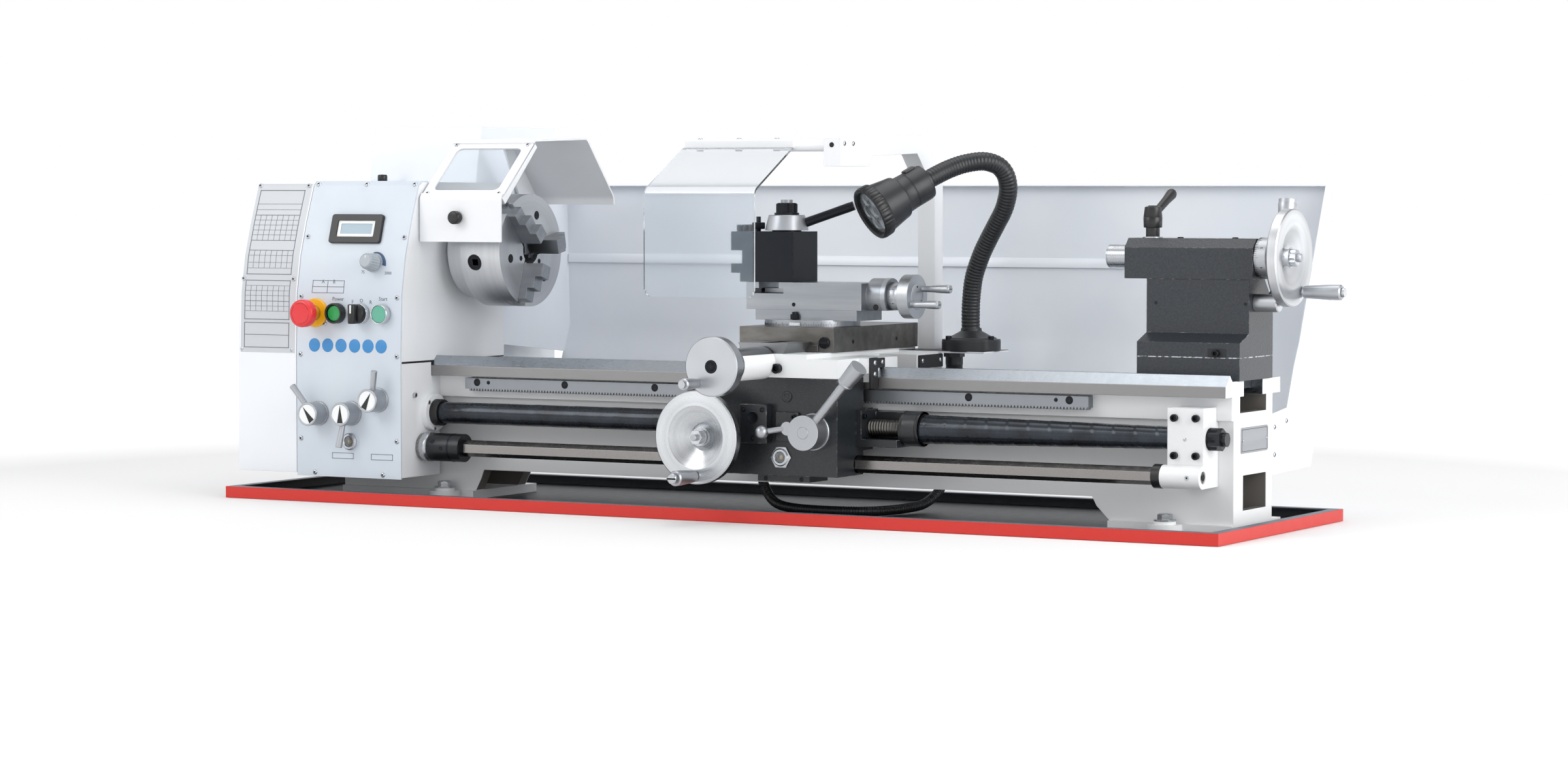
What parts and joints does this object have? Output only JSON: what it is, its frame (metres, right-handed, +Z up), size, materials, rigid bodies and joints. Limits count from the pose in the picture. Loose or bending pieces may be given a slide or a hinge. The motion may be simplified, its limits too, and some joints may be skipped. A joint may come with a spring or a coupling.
{
  "type": "bench lathe",
  "caption": "Belt-driven bench lathe with chuck, carriage, tailstock, guards and chip tray.",
  "frame": {"origin": "middle of the chip tray's underside, on the bench", "axes": "+X along the bed towards the tailstock, -Y to the front where the operator stands, +Z up"},
  "size_m": [1.608, 0.641, 0.53],
  "materials": {
    "white_paint": "textured powder coat, light grey",
    "red_paint": "semi-gloss dark red",
    "grey_paint": "dark grey, lightly textured",
    "aluminium": "turned and cast aluminium",
    "grey_plastic": "moulded",
    "ground_steel": "ground",
    "chrome_steel": "polished",
    "blackened_steel": "black oxide",
    "cast_iron": "machined casting",
    "black_plastic": "moulded",
    "black_paint": "satin black",
    "red_plastic": "moulded",
    "green_plastic": "moulded",
    "white_plastic": "moulded",
    "yellow_plastic": "moulded",
    "brass": "turned",
    "felt": "moulded wiper",
    "belt_rubber": "matte",
    "hose_plastic": "corrugated",
    "clear_sheet": "clear polycarbonate"
  },
  "bodies": {
    "bed_frame": {"chip_tray": "red_paint", "bed": "white_paint", "headstock": "white_paint", "feed_gearbox": "white_paint", "control_panel": "white_paint", "motor": "cast_iron", "motor_housing": "white_paint", "splash_guard": "white_paint", "end_bracket": "white_paint", "drive_belt": "belt_rubber", "screw_covers": "ground_steel", "cable_conduit": "hose_plastic"},
    "spindle": {"spindle": "ground_steel", "chuck_body": "ground_steel"},
    "jaw_1": {"chuck_jaw_1": "ground_steel"},
    "jaw_2": {"chuck_jaw_2": "ground_steel"},
    "jaw_3": {"chuck_jaw_3": "ground_steel"},
    "pinion_1": {"chuck_pinion_1": "blackened_steel"},
    "pinion_2": {"chuck_pinion_2": "blackened_steel"},
    "pinion_3": {"chuck_pinion_3": "blackened_steel"},
    "motor_rotor": {"motor_pulley": "cast_iron"},
    "change_gear": {"change_gear": "cast_iron"},
    "gear_cover": {"gear_cover": "white_paint"},
    "chuck_guard": {"chuck_guard": "white_paint"},
    "leadscrew": {"leadscrew": "ground_steel"},
    "feed_rod": {"feed_rod": "ground_steel"},
    "carriage": {"saddle": "white_paint", "apron": "grey_paint", "shield_arm": "white_paint", "work_lamp": "black_paint"},
    "rack_pinion": {"rack_pinion": "ground_steel"},
    "carriage_wheel": {"carriage_wheel": "aluminium"},
    "carriage_grip": {"carriage_grip": "aluminium"},
    "halfnut_lever": {"halfnut_lever": "aluminium"},
    "feed_lever": {"feed_lever": "aluminium"},
    "cross_slide": {"cross_slide": "ground_steel"},
    "cross_wheel": {"cross_wheel": "aluminium"},
    "cross_grip": {"cross_grip": "aluminium"},
    "compound": {"compound_base": "ground_steel"},
    "top_slide": {"top_slide": "ground_steel"},
    "top_wheel": {"top_wheel": "aluminium"},
    "tool_post": {"tool_post": "blackened_steel"},
    "tool_holder": {"tool_holder": "blackened_steel"},
    "clamp_handle": {"clamp_handle": "blackened_steel"},
    "clear_shield": {"clear_shield": "clear_sheet"},
    "tailstock": {"tailstock_base": "grey_paint"},
    "tail_body": {"tailstock_body": "grey_paint"},
    "quill": {"quill": "ground_steel"},
    "tail_wheel": {"tail_wheel": "aluminium"},
    "tail_grip": {"tail_grip": "aluminium"},
    "quill_lock": {"quill_lock": "black_plastic"},
    "tail_clamp": {"tailstock_clamp": "aluminium"},
    "lever_1": {"selector_lever_1": "chrome_steel"},
    "lever_2": {"selector_lever_2": "chrome_steel"},
    "lever_3": {"selector_lever_3": "chrome_steel"},
    "estop": {"estop_button": "red_plastic"},
    "power": {"power_button": "green_plastic"},
    "start": {"start_button": "green_plastic"},
    "direction": {"direction_switch": "black_plastic"},
    "speed": {"speed_knob": "grey_plastic"}
  },
  "joints": [
    {"name": "spindle_turn", "type": "hinge", "parent": "bed_frame", "child": "spindle", "pos_m": [-0.5, -0.017, 0.353], "axis": [1, 0, 0], "continuous": true},
    {"name": "motor_turn", "type": "hinge", "parent": "bed_frame", "child": "motor_rotor", "pos_m": [-0.65, 0.19, 0.33], "axis": [1, 0, 0], "continuous": true},
    {"name": "change_gear_turn", "type": "hinge", "parent": "bed_frame", "child": "change_gear", "pos_m": [-0.735, -0.04977, 0.24172], "axis": [1, 0, 0], "continuous": true},
    {"name": "leadscrew_turn", "type": "hinge", "parent": "bed_frame", "child": "leadscrew", "pos_m": [0, -0.107, 0.125], "axis": [1, 0, 0], "continuous": true},
    {"name": "feed_rod_turn", "type": "hinge", "parent": "bed_frame", "child": "feed_rod", "pos_m": [0, -0.128, 0.0775], "axis": [1, 0, 0], "continuous": true},
    {"name": "chuck_pinion_1_turn", "type": "hinge", "parent": "spindle", "child": "pinion_1", "pos_m": [-0.414, -0.07569, 0.34053], "axis": [0, -0.9781, -0.2079], "range_deg": [-1441, 2401]},
    {"name": "chuck_pinion_2_turn", "type": "hinge", "parent": "spindle", "child": "pinion_2", "pos_m": [-0.414, 0.02315, 0.30841], "axis": [0, 0.6691, -0.7431], "range_deg": [-1441, 2401]},
    {"name": "chuck_pinion_3_turn", "type": "hinge", "parent": "spindle", "child": "pinion_3", "pos_m": [-0.414, 0.00154, 0.41006], "axis": [0, 0.309, 0.9511], "range_deg": [-1441, 2401]},
    {"name": "chuck_jaw_1_slide", "type": "slide", "parent": "spindle", "child": "jaw_1", "axis": [0, -0.309, -0.9511], "range_m": [-0.006, 0.01]},
    {"name": "chuck_jaw_2_slide", "type": "slide", "parent": "spindle", "child": "jaw_2", "axis": [0, 0.9781, 0.2079], "range_m": [-0.006, 0.01]},
    {"name": "chuck_jaw_3_slide", "type": "slide", "parent": "spindle", "child": "jaw_3", "axis": [0, -0.6691, 0.7431], "range_m": [-0.006, 0.01]},
    {"name": "gear_cover_hinge", "type": "hinge", "parent": "bed_frame", "child": "gear_cover", "pos_m": [-0.76, 0.084, 0.3], "axis": [0, 0, 1], "range_deg": [-100, 0]},
    {"name": "chuck_guard_hinge", "type": "hinge", "parent": "bed_frame", "child": "chuck_guard", "pos_m": [-0.41, 0.15, 0.409], "axis": [1, 0, 0], "range_deg": [-90, 0]},
    {"name": "carriage_wheel_turn", "type": "hinge", "parent": "carriage", "child": "carriage_wheel", "pos_m": [0.033, -0.22, 0.113], "axis": [0, 1, 0], "range_deg": [-5540, 4967]},
    {"name": "carriage_slide", "type": "slide", "parent": "bed_frame", "child": "carriage", "axis": [1, 0, 0], "range_m": [-0.29, 0.26], "deforming": ["screw_covers", "cable_conduit"]},
    {"name": "rack_pinion_turn", "type": "hinge", "parent": "carriage", "child": "rack_pinion", "pos_m": [0.04521, -0.15, 0.1458], "axis": [0, 1, 0], "range_deg": [-1242, 1386]},
    {"name": "carriage_grip_spin", "type": "hinge", "parent": "carriage_wheel", "child": "carriage_grip", "pos_m": [0.0315, -0.26, 0.062], "axis": [0, 1, 0], "continuous": true},
    {"name": "halfnut_lever_turn", "type": "hinge", "parent": "carriage", "child": "halfnut_lever", "pos_m": [0.181, -0.2, 0.122], "axis": [0, 1, 0], "range_deg": [0, 50]},
    {"name": "feed_lever_turn", "type": "hinge", "parent": "carriage", "child": "feed_lever", "pos_m": [0.148, -0.195, 0.126], "axis": [0, 1, 0], "range_deg": [-25, 25]},
    {"name": "cross_wheel_turn", "type": "hinge", "parent": "carriage", "child": "cross_wheel", "pos_m": [0.102, -0.3, 0.211], "axis": [0, 1, 0], "range_deg": [-4801, 9601]},
    {"name": "cross_slide_slide", "type": "slide", "parent": "carriage", "child": "cross_slide", "axis": [0, 1, 0], "range_m": [-0.04, 0.08]},
    {"name": "cross_grip_spin", "type": "hinge", "parent": "cross_wheel", "child": "cross_grip", "pos_m": [0.081, -0.33, 0.189], "axis": [0, 1, 0], "continuous": true},
    {"name": "compound_swivel", "type": "hinge", "parent": "cross_slide", "child": "compound", "pos_m": [0.102, -0.046, 0.26], "axis": [0, 0, 1], "range_deg": [-60, 10]},
    {"name": "top_wheel_turn", "type": "hinge", "parent": "top_slide", "child": "top_wheel", "pos_m": [0.25, -0.047, 0.297], "axis": [1, 0, 0], "range_deg": [-4801, 3001]},
    {"name": "top_slide_slide", "type": "slide", "parent": "compound", "child": "top_slide", "axis": [1, 0, 0], "range_m": [-0.04, 0.025]},
    {"name": "tool_post_turn", "type": "hinge", "parent": "top_slide", "child": "tool_post", "pos_m": [0.062, -0.046, 0.34], "axis": [0, 0, 1], "range_deg": [-90, 90]},
    {"name": "clamp_handle_turn", "type": "hinge", "parent": "top_slide", "child": "clamp_handle", "pos_m": [0.062, -0.046, 0.4], "axis": [0, 0, 1], "range_deg": [0, 75]},
    {"name": "tool_holder_slide", "type": "slide", "parent": "tool_post", "child": "tool_holder", "axis": [0, 0, 1], "range_m": [0, 0.06]},
    {"name": "clear_shield_hinge", "type": "hinge", "parent": "carriage", "child": "clear_shield", "pos_m": [0.05, -0.14, 0.497], "axis": [1, 0, 0], "range_deg": [-95, 0]},
    {"name": "tailstock_slide", "type": "slide", "parent": "bed_frame", "child": "tailstock", "axis": [1, 0, 0], "range_m": [-0.2, 0]},
    {"name": "tailstock_setover", "type": "slide", "parent": "tailstock", "child": "tail_body", "axis": [0, 1, 0], "range_m": [-0.005, 0.005]},
    {"name": "tail_wheel_turn", "type": "hinge", "parent": "tail_body", "child": "tail_wheel", "pos_m": [0.77, -0.017, 0.353], "axis": [1, 0, 0], "range_deg": [-6601, 3001]},
    {"name": "quill_slide", "type": "slide", "parent": "tail_body", "child": "quill", "axis": [1, 0, 0], "range_m": [-0.055, 0.025]},
    {"name": "tail_grip_spin", "type": "hinge", "parent": "tail_wheel", "child": "tail_grip", "pos_m": [0.8, 0.011, 0.309], "axis": [1, 0, 0], "continuous": true},
    {"name": "quill_lock_turn", "type": "hinge", "parent": "tail_body", "child": "quill_lock", "pos_m": [0.589, -0.017, 0.4], "axis": [0, 0, 1], "range_deg": [-60, 60]},
    {"name": "tailstock_clamp_turn", "type": "hinge", "parent": "tail_body", "child": "tail_clamp", "pos_m": [0.75, -0.02, 0.295], "axis": [1, 0, 0], "range_deg": [-45, 0]},
    {"name": "selector_lever_1_turn", "type": "hinge", "parent": "bed_frame", "child": "lever_1", "pos_m": [-0.621, -0.19, 0.123], "axis": [0, 1, 0], "range_deg": [-30, 60]},
    {"name": "selector_lever_2_turn", "type": "hinge", "parent": "bed_frame", "child": "lever_2", "pos_m": [-0.5645, -0.19, 0.1245], "axis": [0, 1, 0], "range_deg": [-45, 45]},
    {"name": "selector_lever_3_turn", "type": "hinge", "parent": "bed_frame", "child": "lever_3", "pos_m": [-0.518, -0.19, 0.1445], "axis": [0, 1, 0], "range_deg": [-60, 60]},
    {"name": "estop_press", "type": "slide", "parent": "bed_frame", "child": "estop", "axis": [0, 1, 0], "range_m": [0, 0.006]},
    {"name": "power_press", "type": "slide", "parent": "bed_frame", "child": "power", "axis": [0, 1, 0], "range_m": [0, 0.004], "stiffness_N_per_m": 300},
    {"name": "start_press", "type": "slide", "parent": "bed_frame", "child": "start", "axis": [0, 1, 0], "range_m": [0, 0.004], "stiffness_N_per_m": 300},
    {"name": "direction_turn", "type": "hinge", "parent": "bed_frame", "child": "direction", "pos_m": [-0.548, -0.19, 0.265], "axis": [0, 1, 0], "range_deg": [-45, 45]},
    {"name": "speed_turn", "type": "hinge", "parent": "bed_frame", "child": "speed", "pos_m": [-0.531, -0.172, 0.336], "axis": [0, -0.9848, 0.1736], "range_deg": [-150, 150]}
  ],
  "couplings": [
    {"joint": "motor_turn", "follows": "spindle_turn", "ratio": 1.6667},
    {"joint": "change_gear_turn", "follows": "spindle_turn", "ratio": -0.45},
    {"joint": "leadscrew_turn", "follows": "spindle_turn", "ratio": 0.72},
    {"joint": "chuck_jaw_2_slide", "follows": "chuck_jaw_1_slide", "ratio": 1},
    {"joint": "chuck_jaw_3_slide", "follows": "chuck_jaw_1_slide", "ratio": 1},
    {"joint": "chuck_pinion_1_turn", "follows": "chuck_jaw_1_slide", "rad_per_m": 4188.8},
    {"joint": "chuck_pinion_2_turn", "follows": "chuck_jaw_1_slide", "rad_per_m": 4188.8},
    {"joint": "chuck_pinion_3_turn", "follows": "chuck_jaw_1_slide", "rad_per_m": 4188.8},
    {"joint": "carriage_wheel_turn", "follows": "carriage_slide", "rad_per_m": 333.33},
    {"joint": "rack_pinion_turn", "follows": "carriage_slide", "rad_per_m": -83.333},
    {"joint": "cross_wheel_turn", "follows": "cross_slide_slide", "rad_per_m": 2094.4},
    {"joint": "top_wheel_turn", "follows": "top_slide_slide", "rad_per_m": 2094.4},
    {"joint": "tail_wheel_turn", "follows": "quill_slide", "rad_per_m": 2094.4}
  ]
}
